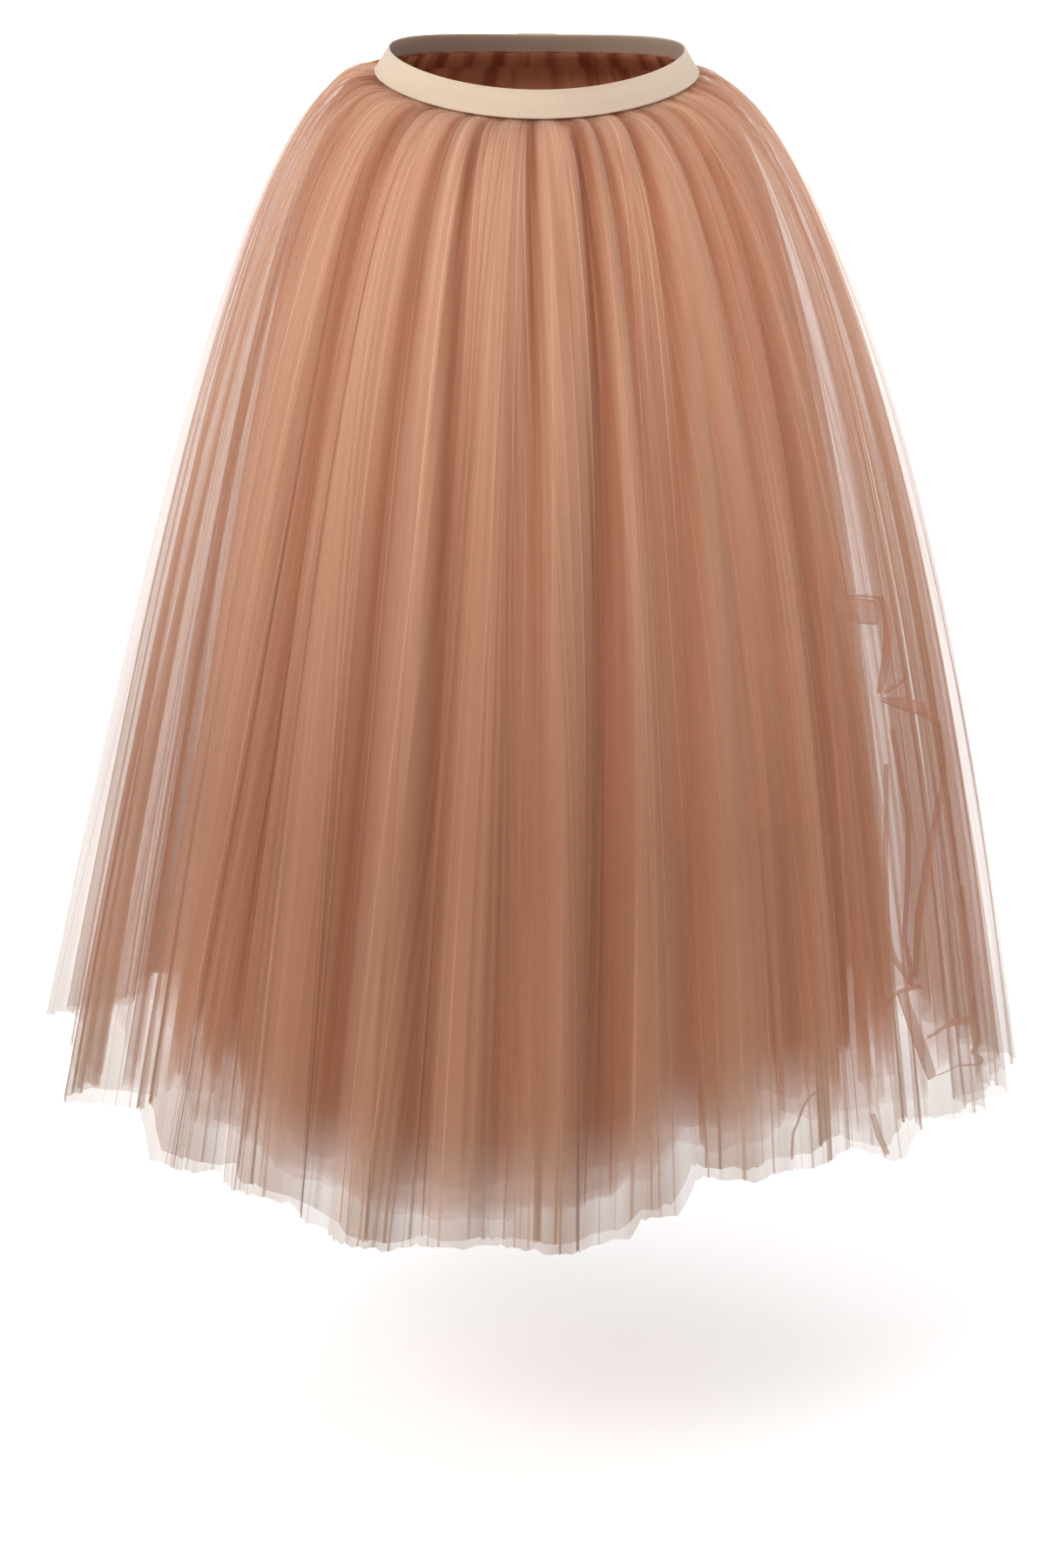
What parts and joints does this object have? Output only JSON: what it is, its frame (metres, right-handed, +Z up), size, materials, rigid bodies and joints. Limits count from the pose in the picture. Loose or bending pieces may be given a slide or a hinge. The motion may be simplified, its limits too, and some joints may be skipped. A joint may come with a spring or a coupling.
{
  "type": "tulle skirt",
  "caption": "Full calf-length skirt of gathered, finely pleated tulle layers on a plain ribbon waistband, standing open as when worn.",
  "frame": {"origin": "centre of the waist opening, level with the waist seam at the sides, where a wearer's waist holds the skirt", "axes": "+Z up along the wearer's body, -Y the skirt's front, +X to the right as seen from the front"},
  "size_m": [0.9276, 0.8903, 0.9955],
  "materials": {
    "ribbon": "matt ribbed grosgrain ribbon",
    "tulle": "sheer matt net"
  },
  "bodies": {
    "root": {"waistband": "ribbon", "tulle_outer_front": "tulle", "tulle_outer_back": "tulle", "tulle_middle_front": "tulle", "tulle_middle_back": "tulle", "tulle_inner_front": "tulle", "tulle_inner_back": "tulle"}
  },
  "joints": []
}
